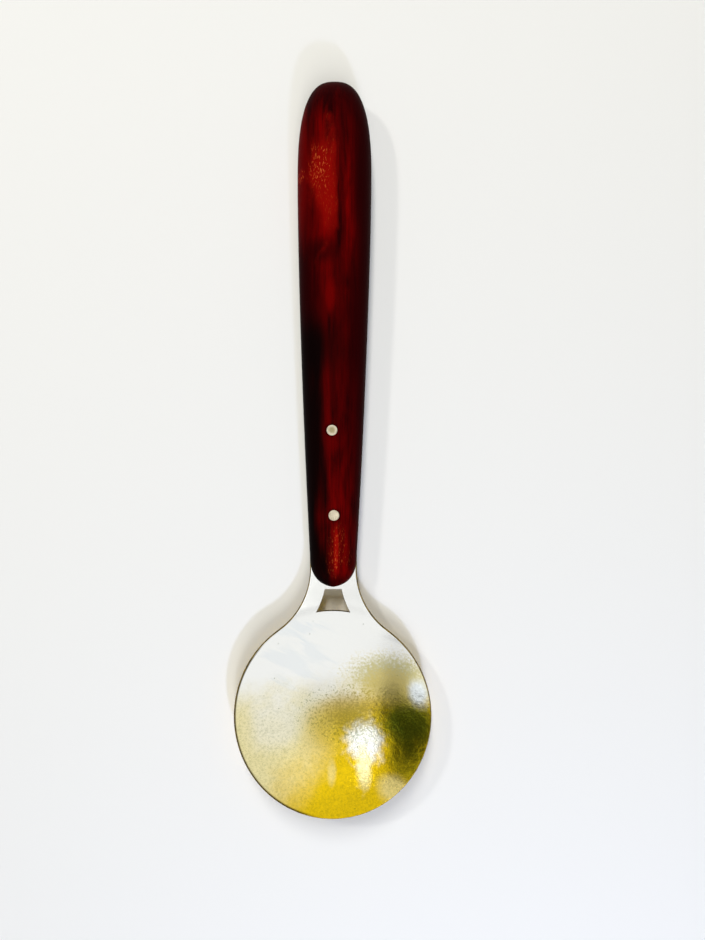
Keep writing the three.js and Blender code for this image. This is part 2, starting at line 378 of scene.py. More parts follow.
def smooth_step(low, high, value):
    """0 below low, 1 above high, and a cubic ease between."""
    share = np.clip((value - low) / (high - low), 0, 1)
    return share * share * (3 - 2 * share)


def solve_angle(measure, goal, low, high):
    """The angle between low and high at which a rising measure reaches its goal."""
    for _ in range(HALVINGS):
        middle = (low + high) / 2
        if measure(middle) < goal:
            low = middle
        else:
            high = middle
    return low


class BladeShape:
    """The blade seen from above, with the bowl's middle as its origin, and its height.

    An inset moves the outer edges into the metal, and a window inset those of the window,
    which leaves room to round the edges.
    """

    def __init__(self, settings, handle, inset=0.0, window_inset=0.0):
        low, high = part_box("spoon_blade")
        self.settings = settings
        self.handle = handle
        self.inset = inset
        self.window_inset = window_inset
        self.half_width = (high[0] - low[0]) / 2 - inset
        self.half_length = settings.bowl_length / 2 - inset
        self.middle = low[1] + settings.bowl_length / 2
        self.front = handle.front - self.middle
        self.tang_end = high[1] - self.middle - inset
        self.rim_slope = math.tan(settings.rim_tilt)
        self.fillet = settings.fillet + inset
        side = handle.settings.front_width / 2 + settings.fillet
        self.touch = solve_angle(lambda a: -self.beside_rim(a)[0], -side, 0, math.pi / 2)
        self.fillet_centre = self.beside_rim(self.touch)
        self.sill = settings.sill + inset - window_inset
        self.window_radius = settings.fillet + settings.arm - window_inset
        self.window_top = self.front - settings.land + window_inset
        self.corner = solve_angle(self.reach, self.window_radius, self.touch, math.pi / 2)

    def rim_point(self, angle, outside=0.0):
        """Point of the rim's ellipse, or of an ellipse that runs outside it."""
        across = (self.half_width + outside) * np.cos(angle)
        return np.array([across, (self.half_length + outside) * np.sin(angle)])

    def beside_rim(self, angle):
        """The point one fillet radius outside the rim."""
        outward = np.array([self.half_length * math.cos(angle), self.half_width * math.sin(angle)])
        return self.rim_point(angle) + outward / np.linalg.norm(outward) * self.fillet

    def reach(self, angle):
        """Distance from the fillet's centre to a point of the window's sill."""
        return np.linalg.norm(self.rim_point(angle, self.sill) - self.fillet_centre)

    def outer(self, y):
        """Half width of neck and tang: the handle's taper plus the fillet's arc."""
        h = self.handle
        side = h.taper(y - self.front, h.settings.front_width, h.width) / 2 - self.inset
        before = np.maximum(self.fillet_centre[1] - y, 0)
        return side + self.fillet - np.sqrt(self.fillet ** 2 - before ** 2)

    def inner(self, y):
        """Half width of the window: an arc concentric with the fillet."""
        before = np.maximum(self.fillet_centre[1] - y, 0)
        return self.fillet_centre[0] - np.sqrt(np.maximum(self.window_radius ** 2 - before ** 2, 0))

    def rounding(self, x, y):
        """Rounding of the edge at a point of the outline."""
        beside = np.abs(x) < self.inner(y) + SLACK
        above, below = y > self.rim_point(self.touch)[1], y < self.window_top + SLACK
        return np.where(beside & above & below, self.window_inset, self.inset)

    def height(self, x, y, inside):
        """Height of the middle of the sheet, as its inside or its outside has it.

        The rim's plane runs into a cubic bend along the neck and then along the tang. The
        bowl dips below it by a power of the distance from the foot's edge, or on the inside
        of a hyperbola that is round in the middle, and a smooth minimum blends it into the neck.
        """
        s = self.settings
        floor = s.sheet / 2
        rim = floor + s.bowl_depth - y * self.rim_slope
        neck = self.front - self.half_length
        share = np.clip((y - self.half_length) / neck, 0, 1)
        leave = -self.rim_slope * share * (1 - share) ** 2
        arrive = self.handle.slope * share ** 2 * (share - 1)
        bend = self.handle.front_height + neck * (leave + arrive)
        tang = self.handle.front_height + (y - self.front) * self.handle.slope
        base = np.where(y < self.half_length, rim, np.where(y < self.front, bend, tang))

        foot = s.foot / (2 * self.half_width)
        radius = np.hypot(x / self.half_width, y / self.half_length)
        if inside:
            reach = (np.hypot(radius, s.dish) - s.dish) / (math.hypot(1, s.dish) - s.dish)
            rise = reach ** s.dish_curve
        else:
            rise = np.clip((radius - foot) / (1 - foot), 0, None) ** s.bowl_curve
        angle = np.arctan2(y / self.half_length, np.abs(x) / self.half_width)
        # The blend comes in around the place where the fillet leaves the rim
        soft = s.crease * smooth_step(self.touch - 0.25, self.touch + 0.1, angle) + 1e-6
        mix = np.clip(0.5 + 0.5 * (1 - rise) / soft, 0, 1)
        rise = rise * mix + (1 - mix) - soft * mix * (1 - mix)
        return base - (rim - floor) * (1 - rise)


def blade_outline_grid(shape):
    """Points and quads of the blade seen from above.

    Rings of the rim's ellipse, which swells a little towards the window's sill, fill the
    bowl. On each side a fan of rows starts where the fillet leaves the rim and runs up the
    arm and the tang, and a middle strip closes the tang above the window.
    """
    touch, corner = shape.touch, shape.corner
    wedge = np.linspace(touch, corner, WEDGE_STEPS)
    sill = np.linspace(corner, math.pi - corner, SILL_STEPS)
    round_rim = np.linspace(math.pi - touch, 2 * math.pi + touch, RIM_STEPS)
    angle = np.concatenate([wedge, sill[1:], math.pi - wedge[-2::-1], round_rim[1:]])
    swell = np.clip((np.minimum(angle, math.pi - angle) - touch) / (corner - touch), 0, 1)
    radius = np.concatenate([np.linspace(0, 0.98, RINGS), [0.99, 0.996, 1]])
    rim = shape.rim_point(angle, shape.sill * swell)
    bowl = spread(*(np.outer(side, radius) for side in rim))
    blocks = [(bowl, grid_faces(len(angle), len(radius)))]

    joint_x, joint_y = rim[:, :len(wedge)]
    window_rows = np.linspace(joint_y[-1], shape.window_top, WINDOW_ROWS)[1:]
    neck_rows = np.linspace(shape.window_top, shape.fillet_centre[1], NECK_ROWS)
    tang_rows = np.linspace(shape.fillet_centre[1], shape.tang_end, TANG_ROWS)[1:]
    upper = np.concatenate([neck_rows, tang_rows])
    y = np.concatenate([joint_y, window_rows, upper[1:]])[:, None]
    inner = np.concatenate([joint_x, shape.inner(y[len(wedge):, 0])])[:, None]
    outer = np.maximum(shape.outer(y), inner)
    outer[0] = inner[0]
    across = np.concatenate([[0, 0.03], np.linspace(0.08, 0.92, ARM_COLUMNS), [0.97, 1]])
    for side in (1, -1):
        x = side * (inner + (outer - inner) * across[::side])
        blocks.append((spread(x, y), grid_faces(len(y), len(across))))
    x = shape.inner(upper[:, None]) * np.linspace(-1, 1, STRIP_COLUMNS)
    blocks.append((spread(x, upper[:, None]), grid_faces(len(upper), STRIP_COLUMNS)))
    return join_blocks(blocks)


def blade_mesh(shape, inset):
    """(points, faces, finish of each face): 0 for the top, 1 for the edges, 2 for the underside.

    The sheet is its middle surface moved up and down by half its upright thickness. Its open
    edges are closed by a band that is half an ellipse: from the top's edge to the bottom's by
    the cosine of an angle, and outwards by the edge's rounding times its sine.
    """
    plan, faces = blade_outline_grid(inset)
    x, y = plan.T
    step = 0.01 * MM
    sides = []
    for inside, sign in ((True, 1), (False, -1)):
        slope_x = (shape.height(x + step, y, inside) - shape.height(x - step, y, inside)) / (2 * step)
        slope_y = (shape.height(x, y + step, inside) - shape.height(x, y - step, inside)) / (2 * step)
        half = shape.settings.sheet / 2 * np.sqrt(1 + slope_x ** 2 + slope_y ** 2)
        sides.append(np.stack([x, y + shape.middle, shape.height(x, y, inside) + sign * half], axis=-1))

    count = len(plan)
    ends = np.stack([faces, np.roll(faces, -1, axis=1)], axis=-1).reshape(-1, 2)
    ends = ends[ends[:, 0] != ends[:, 1]]
    a, b = ends[~np.isin(ends @ [count, 1], ends @ [1, count])].T
    here, after, before = np.sort(a), b[np.argsort(a)], a[np.argsort(b)]
    coming, going = plan[here] - plan[before], plan[after] - plan[here]
    coming, going = (way / np.linalg.norm(way, axis=1, keepdims=True) for way in (coming, going))
    turned = 1 + np.sum(coming * going, axis=1, keepdims=True)
    outward = ((coming + going) / turned)[:, ::-1] * [1, -1]
    outward = np.column_stack([outward, np.zeros(len(here))])

    top, bottom = sides[0][here], sides[1][here]
    lean = np.linspace(0, math.pi, EDGE_STEPS)[1:-1, None, None]
    rounding = inset.rounding(*plan[here].T)[:, None]
    turn = np.arctan2(rounding * np.sin(lean), shape.settings.sheet / 2 * np.cos(lean))
    band = (top + bottom) / 2 + (top - bottom) / 2 * np.cos(turn) + outward * rounding * np.sin(turn)
    rings = 2 * count + np.arange(band.shape[0] * len(here)).reshape(-1, len(here))
    rings = np.vstack([here, rings, here + count])
    ahead = rings[:, np.searchsorted(here, after)]
    walls = np.stack([ahead[:-1], rings[:-1], rings[1:], ahead[1:]], axis=-1).reshape(-1, 4)

    upper, lower = polygons(faces), polygons(faces[:, ::-1] + count)
    finish = np.repeat([0, 2, 1], [len(upper), len(lower), len(walls)])
    return np.concatenate([*sides, band.reshape(-1, 3)]), upper + lower + walls.tolist(), finish


# Rivet shape

def rivet_mesh(node, settings):
    """A pin turned about its axis: straight sides, rounded rims and gently dished ends."""
    low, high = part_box(node)
    middle = centre(node)
    radius, half = (high[0] - low[0]) / 2, (high[2] - low[2]) / 2
    turn = math.atan(tang_line()[1])
    rim = np.linspace(0, math.pi / 2, RIVET_RIM_STEPS)
    flat = np.linspace(0, 1, RIVET_END_STEPS)
    r = np.concatenate([flat * (radius - settings.edge), radius - settings.edge * (1 - np.sin(rim[1:]))])
    z = np.concatenate([
        half - settings.dish * (1 - flat ** 2) ** 2,
        half - settings.edge * (1 - np.cos(rim[1:])),
    ])
    r, z = np.concatenate([r, r[::-1]]), np.concatenate([z, -z[::-1]])
    angle = np.linspace(0, 2 * math.pi, RIVET_SIDES)
    x, y = np.outer(np.cos(angle), r), np.outer(np.sin(angle), r)
    points = spread(
        middle[0] + x,
        middle[1] + y * math.cos(turn) - z * math.sin(turn),
        middle[2] + y * math.sin(turn) + z * math.cos(turn),
    )
    points, faces = join_blocks([(points, grid_faces(len(angle), len(r))[:, ::-1])])
    return points, polygons(faces)


# Materials

def add(tree, kind, inputs=None, **settings):
    """Adds a node with its settings, sets or links its inputs, and gives its first live output."""
    node = tree.nodes.new("ShaderNode" + kind)
    for name, value in settings.items():
        setattr(node, name, value)
    for name, value in (inputs or {}).items():
        if isinstance(value, bpy.types.NodeSocket):
            tree.links.new(value, node.inputs[name])
        else:
            node.inputs[name].default_value = value
    return next((output for output in node.outputs if output.enabled), None)


def new_material(name):
    """(material, its node tree, position in millimetres) of a material with nothing in it yet."""
    material = bpy.data.materials.new(name)
    material.use_nodes = True
    tree = material.node_tree
    tree.nodes.clear()
    place = add(tree, "TexCoord").node.outputs["Object"]
    return material, tree, add(tree, "VectorMath", {0: place, "Scale": 1 / MM}, operation="SCALE")


def patch(tree, place, middle, size, ragged, strength=1.0):
    """Share, from 0 to a strength, inside an oval patch whose rim a ragged value roughens.

    The distance from the middle, in half sizes, plus 0.9 of the ragged value fades the patch
    out from 0.85 to 1.55.
    """
    away = add(tree, "Mapping", {"Vector": place, "Location": middle, "Scale": (*size, THROUGH)},
               vector_type="TEXTURE")
    away = add(tree, "VectorMath", {0: away}, operation="LENGTH")
    away = add(tree, "Math", {0: ragged, 1: 0.9, 2: away}, operation="MULTIPLY_ADD")
    return add(tree, "MapRange", {"Value": away, "From Min": 1.55, "From Max": 0.85, "To Max": strength},
               interpolation_type="SMOOTHSTEP")


def plated_brass(shape):
    """Brass sheet with pale plating, beaten and polished by hand and worn towards the tip.

    The eye gets a soft mirror that runs from silvery white through cream to gold, where the white is
    partly a painted bright reflection, with an olive side that is partly tarnished brass and partly a
    painted dark reflection, painted highlights and reflections of a lamp and a window, a beaten ripple
    of a millimetre or two and a few dark specks.
    """
    s = shape.settings
    half_width, half_length = shape.half_width / MM, shape.half_length / MM
    material, tree, place = new_material("Plated brass, hand polished and worn")
    here = add(tree, "Mapping", {"Vector": place, "Location": (0, shape.middle / MM, 0)},
               vector_type="TEXTURE")

    # Clouds of 8 mm, beaten ripples of 1.6 mm and mottling of 0.6 mm. The polishing grain is finer
    # in truth and is drawn 0.45 mm wide so that it shows.
    cloud = add(tree, "TexNoise", {"Vector": here, "Scale": 1 / 8, "Detail": 6, "Roughness": 0.65})
    ripple = add(tree, "TexNoise", {"Vector": here, "Scale": 1 / 1.6, "Detail": 2})
    mottle = add(tree, "TexNoise", {"Vector": here, "Scale": 1 / 0.6, "Detail": 5, "Roughness": 0.75})
    grain = add(tree, "TexNoise", {"Vector": here, "Scale": 1 / 0.45, "Detail": 3})
    speckle = add(tree, "MapRange", {"Value": mottle, "From Min": 0.22, "From Max": 0.78})
    spots = add(tree, "MapRange", {"Value": mottle, "From Min": 0.4, "From Max": 0.6,
                                   "To Min": -0.7, "To Max": 1.7})

    # Wisps of 9 by 2 mm drawn out across the upper left of the bowl
    wisp = add(tree, "Mapping", {"Vector": here, "Rotation": (0, 0, math.radians(-32)),
                                 "Scale": (9, 2, 9)}, vector_type="TEXTURE")
    wisp = add(tree, "TexNoise", {"Vector": wisp, "Scale": 1, "Detail": 4, "Distortion": 0.6})
    wisp = add(tree, "MapRange", {"Value": wisp, "From Min": 0.35, "From Max": 0.75, "To Max": 1.5})

    # Share along a direction in the bowl's plane, in bowl radii, roughened by the cloud, for worn plating
    # and for painted reflection
    def worn_and_painted_reflection_share(across, along, ragged, low, high):
        towards = (across / half_width, along / half_width, 0)
        share = add(tree, "VectorMath", {0: here, 1: towards}, operation="DOT_PRODUCT")
        share = add(tree, "Math", {0: cloud, 1: ragged, 2: share}, operation="MULTIPLY_ADD")
        return add(tree, "MapRange",
                   {"Value": share, "From Min": low + ragged / 2, "From Max": high + ragged / 2},
                   interpolation_type="SMOOTHSTEP")

    # Plating thick at the neck, thin towards the tip and worn off at the lower right; the near white of
    # the neck and upper bowl is partly a painted bright reflection
    thin = worn_and_painted_reflection_share(0, -1, 0.5, -0.4, 0.2)
    bare = worn_and_painted_reflection_share(0.8, -0.7, 0.5, -0.2, 0.5)
    kept = worn_and_painted_reflection_share(0, -1, 0.3, -0.5, -0.05)
    bare = add(tree, "Math", {0: bare, 1: kept}, operation="MULTIPLY")
    body = add(tree, "Mix", {0: thin, 6: s.plating_and_painted_reflection, 7: s.cream}, data_type="RGBA")
    body = add(tree, "Mix", {0: bare, 6: body, 7: s.brass}, data_type="RGBA")

    # Worn, hazy and tarnished patches, several of them painted highlights and reflections: middle and half
    # size in millimetres, rim, strength and tone
    zones = (
        ((1, -4), (9, 7), cloud, 0.6, s.brass),
        # Painted highlights: a pale patch that whitens the round lamp's hot spot, its tail and a second
        # small glint
        ((7.4, -7.5), (5.4, 6), ripple, 0.95, s.plating_and_painted_reflection),
        ((7.2, -13), (2.2, 5.5), ripple, 0.85, s.cream),
        ((-0.2, -14.4), (1.3, 3), cloud, 0.4, s.cream),
        ((14.5, 7), (13.5, 7.5), speckle, 0.9, s.cream),
        ((-14, -2.5), (8, 8), cloud, 0.45, s.plating_and_painted_reflection),
        ((-22, -6), (5, 12), cloud, 0.6, s.cream),
        # Partly painted dark reflection: dark speckles round the hot spot and the olive right side, half
        # tarnished brass and half a painted reflection of dark surroundings
        ((5.5, -2.2), (9, 4.4), spots, 0.5, s.tarnish_and_painted_dark_reflection),
        ((17, -2.5), (8, 8), cloud, 0.8, s.tarnish_and_painted_dark_reflection),
        ((17.5, -11), (6, 5), cloud, 0.45, s.tarnish_and_painted_dark_reflection),
        ((4.5, -0.7), (9, 5), speckle, 0.45, s.under),
        ((13.5, 7.5), (11, 6), speckle, 0.3, s.tarnish_and_painted_dark_reflection),
        ((13, 5), (8, 6), speckle, 0.35, s.brass),
        # Painted reflection of a window at the right rim
        ((19.6, 4.5), (3, 4.2), cloud, 0.9, s.haze_and_painted_window_reflection),
        ((14, -16.5), (4.6, 3.4), cloud, 0.55, s.cream),
        ((-9, 11), (8, 5.5), wisp, 0.35, s.haze_and_painted_window_reflection),
        ((-7, 19), (7, 2.5), wisp, 0.4, s.haze_and_painted_window_reflection),
    )
    coats = [(patch(tree, here, (*middle, 0), size, ragged, strength), tone)
             for middle, size, ragged, strength, tone in zones]

    # Tarnished mottling where the plating is thin, and a few dark specks 2.6 mm apart
    stain = add(tree, "MapRange", {"Value": mottle, "From Min": 0.44, "From Max": 0.75, "To Max": 0.42})
    stain = add(tree, "Math", {0: stain, 1: thin}, operation="MULTIPLY")
    specks = add(tree, "TexVoronoi", {"Vector": here, "Scale": 1 / 2.6})
    specks = add(tree, "MapRange", {"Value": specks, "From Min": 0.06, "From Max": 0.035, "To Max": 0.6})

    # Painted dark line along the left of the rim: the dark reflection in the rim's rounded edge. The last
    # scale makes height not count.
    rim = add(tree, "Mapping", {"Vector": here, "Scale": (half_width, half_length, 1000)},
              vector_type="TEXTURE")
    rim = add(tree, "VectorMath", {0: rim}, operation="LENGTH")
    rim = add(tree, "MapRange", {"Value": rim, "From Min": 0.972, "From Max": 0.984})
    left = worn_and_painted_reflection_share(-0.95, -0.3, 0.6, 0.3, 0.65)
    rim = add(tree, "Math", {0: rim, 1: left}, operation="MULTIPLY")

    coats += [(stain, s.tarnish_and_painted_dark_reflection), (specks, s.tarnish_and_painted_dark_reflection), (rim, s.cut)]
    for share, tone in coats:
        body = add(tree, "Mix", {0: share, 6: body, 7: tone}, data_type="RGBA")

    # Bumps laid one on another, with depths in millimetres, weaker where the plating is thick
    bump = {"Strength": add(tree, "MapRange", {"Value": thin, "To Min": 0.2})}
    for height, depth in ((cloud, 0.2), (ripple, 0.06), (grain, 0.018)):
        bump |= {"Height": height, "Distance": depth * MM}
        bump["Normal"] = add(tree, "Bump", bump)
    rough = add(tree, "MapRange", {"Value": grain, "From Min": 0.3, "From Max": 0.7,
                                   "To Min": 0.17, "To Max": 0.26})
    surface = add(tree, "BsdfPrincipled", {"Base Color": body, "Roughness": rough, "Metallic": 1.0,
                                           "Normal": bump["Normal"]})
    add(tree, "OutputMaterial", {"Surface": surface})
    return material


def dull_brass(name, colours, size, low, high):
    """Brass that was never polished: two tones in cloudy patches of a size in millimetres.

    The eye gets an uneven, soft yellow sheen with no clear mirror.
    """
    material, tree, place = new_material(name)
    cloud = add(tree, "TexNoise", {"Vector": place, "Scale": 1 / size, "Detail": 4})
    clean = add(tree, "MapRange", {"Value": cloud, "From Min": low, "From Max": high})
    body = add(tree, "Mix", {0: clean, 6: colours[0], 7: colours[1]}, data_type="RGBA")
    rough = add(tree, "MapRange", {"Value": cloud, "To Min": 0.5, "To Max": 0.3})
    surface = add(tree, "BsdfPrincipled", {"Base Color": body, "Roughness": rough, "Metallic": 1.0})
    add(tree, "OutputMaterial", {"Surface": surface})
    return material


def red_hardwood(shape):
    """Dark red hardwood, shaped by hand, oiled and rubbed.

    The eye gets deep red bands along the grain, sides darkened with painted shade, nearly black along
    the lower left, short open pores and, at the butt and the front end, bright zones with pale flecks.
    """
    s = shape.settings
    material, tree, place = new_material("Red hardwood, oiled and rubbed")
    place = add(tree, "Mapping", {"Vector": place, "Location": (0, shape.front / MM, 0)},
                vector_type="TEXTURE")

    # Noise drawn out along the grain: feature size in millimetres, stretch and detail. The pores are
    # finer in truth and are drawn 0.24 mm wide so that they show.
    def grain(size, stretch, detail):
        drawn = add(tree, "VectorMath", {0: place, 1: (1, 1 / stretch, 1)}, operation="MULTIPLY")
        return add(tree, "TexNoise",
                   {"Vector": drawn, "Scale": 1 / size, "Detail": detail, "Distortion": 0.3})

    bands, fibre = grain(2.6, 14, 3), grain(0.5, 14, 6)
    blotch, pores = grain(3.6, 3, 5), grain(0.24, 3, 2)
    light = add(tree, "Math", {0: fibre, 1: 0.7, 2: bands}, operation="MULTIPLY_ADD")
    light = add(tree, "Math", {0: blotch, 1: 0.9, 2: light}, operation="MULTIPLY_ADD")
    light = add(tree, "MapRange", {"Value": light, "From Min": 1.02, "From Max": 1.48})
    # Red only in the middle: the sides turn dark, a painted shade where the rounded sides turn from the
    # light
    middle = patch(tree, place, (0.3, 57, 0), (6.5, 200), bands)
    light = add(tree, "Math", {0: light, 1: middle}, operation="MULTIPLY")
    body = add(tree, "Mix", {0: light, 6: s.dark, 7: s.red}, data_type="RGBA")

    # Dark and red patches: middle and half size in millimetres, strength and tone
    zones = (
        # The first two darken the right side: dark wood and painted shade on the side away from the left
        # lamp
        ((9.5, 60), (7, 75), 0.85, s.dark),
        ((7.2, 94), (4.4, 18), 0.85, s.dark),
        ((3.4, 109), (4.5, 13), 0.75, s.dark),
        ((0, 56), (16, 24), 0.75, s.dark),
        ((0, 32), (16, 22), 0.5, s.dark),
        ((0, 115), (14, 12), 0.9, s.dark),
        ((0, 0), (8, 4), 0.8, s.dark),
        ((-7.2, 92), (2.6, 20), 0.55, s.red),
        ((-1, 83), (1.8, 14), 0.6, s.red),
        ((-0.8, 65), (1.6, 5), 0.6, s.red),
        ((-2.5, 75), (4, 4), 0.75, s.dark),
        ((1.8, 86), (1.1, 24), 0.55, s.dark),
        ((-0.5, 54), (4.5, 8), 0.5, s.black),
        ((-6.4, 34), (6.6, 38), 0.97, s.black),
        ((-5.2, 54), (5.5, 10), 0.95, s.black),
        ((-3.8, 4), (5.2, 12), 0.97, s.black),
    )
    coats = [(patch(tree, place, (*where, 0), size, bands, strength), tone)
             for where, size, strength, tone in zones]

    # Bright zones: middle and half size in millimetres, share of flame and share of flecks
    bright = (
        ((-2.6, 91), (3.6, 14), 0.7, 0.12),
        ((-3.2, 94), (2.6, 6), 0.2, 0.7),
        ((-7.3, 92.2), (0.9, 1.8), 0.3, 0.8),
        ((0.7, 8.5), (0.5, 6), 0.9, 0.5),
        ((1, 8.5), (2.8, 6), 0.1, 0.3),
    )
    open_pores = add(tree, "MapRange", {"Value": pores, "From Min": 0.58, "From Max": 0.7})
    rough_rim = add(tree, "MapRange", {"Value": blotch, "From Min": 0.3, "From Max": 0.7})
    for where, size, strength, flecked in bright:
        flame, flecks = (patch(tree, place, (*where, 0), size, rough_rim, share)
                         for share in (strength, flecked))
        flecks = add(tree, "Math", {0: flecks, 1: open_pores}, operation="MULTIPLY")
        coats += [(flame, s.flame), (flecks, s.fleck)]

    # Dark rings around the rivets
    for node in ("front_rivet", "rear_rivet"):
        x, y, _ = centre(node) / MM
        ring = patch(tree, place, (x, y - shape.front / MM, 0), (1.9, 1.9), fibre, 0.9)
        coats.append((ring, s.black))
    for share, tone in coats:
        body = add(tree, "Mix", {0: share, 6: body, 7: tone}, data_type="RGBA")
    rough = add(tree, "MapRange", {"Value": pores, "To Min": 0.35, "To Max": 0.6})
    bump = add(tree, "Bump", {"Height": pores, "Strength": 0.5, "Distance": 0.03 * MM})
    surface = add(tree, "BsdfPrincipled", {"Base Color": body, "Roughness": rough, "Normal": bump,
                                           "Specular IOR Level": 0.01})
    add(tree, "OutputMaterial", {"Surface": surface})
    return material


def rivet_metal(settings):
    """Nickel brass pin, hammered over and filed flush: pale, with dull file marks 0.3 mm wide."""
    material, tree, place = new_material("Nickel brass, hammered and filed")
    filed = add(tree, "VectorMath", {0: place, 1: (1, 0.3, 1)}, operation="MULTIPLY")
    filed = add(tree, "TexNoise", {"Vector": filed, "Scale": 1 / 0.3, "Detail": 3})
    dirty = add(tree, "MapRange", {"Value": filed, "From Min": 0.48, "From Max": 0.7, "To Max": 0.45})
    rear = patch(tree, place, tuple(centre("rear_rivet") / MM), (0.9, 0.9), filed, 0.75)
    body = add(tree, "Mix", {0: dirty, 6: settings.metal, 7: settings.grime}, data_type="RGBA")
    body = add(tree, "Mix", {0: rear, 6: body, 7: settings.grime}, data_type="RGBA")
    rough = add(tree, "MapRange", {"Value": filed, "To Min": 0.25, "To Max": 0.45})
    bump = add(tree, "Bump", {"Height": filed, "Strength": 0.6, "Distance": 0.02 * MM})
    surface = add(tree, "BsdfPrincipled", {"Base Color": body, "Roughness": rough, "Normal": bump,
                                           "Metallic": 1.0})
    add(tree, "OutputMaterial", {"Surface": surface})
    return material


# Stage

def seen_rays(tree):
    """1 for rays from the camera, off gloss and through glass, and 0 for the others."""
    path = add(tree, "LightPath").node.outputs
    seen = add(tree, "Math", {0: path["Is Camera Ray"], 1: path["Is Glossy Ray"]}, operation="ADD")
    return add(tree, "Math", {0: seen, 1: path["Is Transmission Ray"]}, operation="ADD", use_clamp=True)


def add_floor(settings):
    """A plain pale floor under the spoon, which runs into the white background far away."""
    half = 3.0  # metres
    corners = [(-half, -half, 0), (half, -half, 0), (half, half, 0), (-half, half, 0)]
    mesh = bpy.data.meshes.new("floor")
    mesh.from_pydata(corners, [], [(0, 1, 2, 3)])
    material, tree, place = new_material("Matt paper")
    paper = add(tree, "BsdfPrincipled", {"Base Color": settings.floor, "Roughness": 0.9,
                                         "Specular IOR Level": 0.1})

    # In the distance, given in millimetres, the floor turns white to the rays that are seen
    away = add(tree, "VectorMath", {0: place}, operation="LENGTH")
    far = add(tree, "MapRange", {"Value": away, "From Min": 150, "From Max": 450},
              interpolation_type="SMOOTHSTEP")
    far = add(tree, "Math", {0: far, 1: seen_rays(tree)}, operation="MULTIPLY")
    surface = add(tree, "MixShader", {0: far, 1: paper, 2: add(tree, "Emission")})
    add(tree, "OutputMaterial", {"Surface": surface})
    mesh.materials.append(material)
    floor = bpy.data.objects.new("floor", mesh)
    bpy.context.scene.collection.objects.link(floor)


def add_lamp(name, ends, width, watts, tint, mirrored):
    """A soft oblong lamp between two ends, aimed at the spoon, for gloss alone or for all else."""
    first, last = (np.array(end) for end in ends)
    span = np.linalg.norm(last - first)
    along = (last - first) / span
    away = (first + last) / 2
    side = np.cross(along, away) / np.linalg.norm(np.cross(along, away))
    data = bpy.data.lights.new(name, "AREA")
    data.shape = "RECTANGLE"
    data.size, data.size_y = width, span
    data.energy = watts
    data.color = linear(tint)[:3]
    lamp = bpy.data.objects.new(name, data)
    lamp.location = away
    lamp.rotation_euler = Matrix((side, along, np.cross(side, along))).transposed().to_euler()
    lamp.visible_camera = False
    lamp.visible_glossy = mirrored
    lamp.visible_diffuse = not mirrored
    bpy.context.scene.collection.objects.link(lamp)


def add_lamps():
    """Soft boxes before and behind the spoon, a left and a cool lamp, and two for the gloss alone.

    Each has its two ends and its width in metres, its watts, its tint and whether gloss shows it.
    """
    add_lamp("front_box", ((0.12, -1.05, 0.82), (0.12, -0.55, 1.22)), 0.2, 4.1, "#fffdf6", False)
    add_lamp("back_box", ((-0.06, 0.33, 0.73), (-0.06, 0.57, 0.54)), 0.12, 2.75, "#fffdf6", False)
    add_lamp("left_lamp", ((-0.44, 0.25, 0.55), (-0.40, 0.30, 0.55)), 0.06, 0.85, "#fffdf8", False)
    add_lamp("cool_lamp", ((0.085, -0.27, 0.235), (0.065, -0.275, 0.235)), 0.02, 0.37, "#c4d4ff", False)
    add_lamp("round_gloss", ((-0.14, -0.18, 0.50), (-0.14, -0.045, 0.50)), 0.13, 0.054, "#fffdf6", True)
    add_lamp("long_gloss", ((-0.165, -0.03, 0.50), (-0.27, 0.29, 0.50)), 0.025, 0.14, "#fffdf6", True)


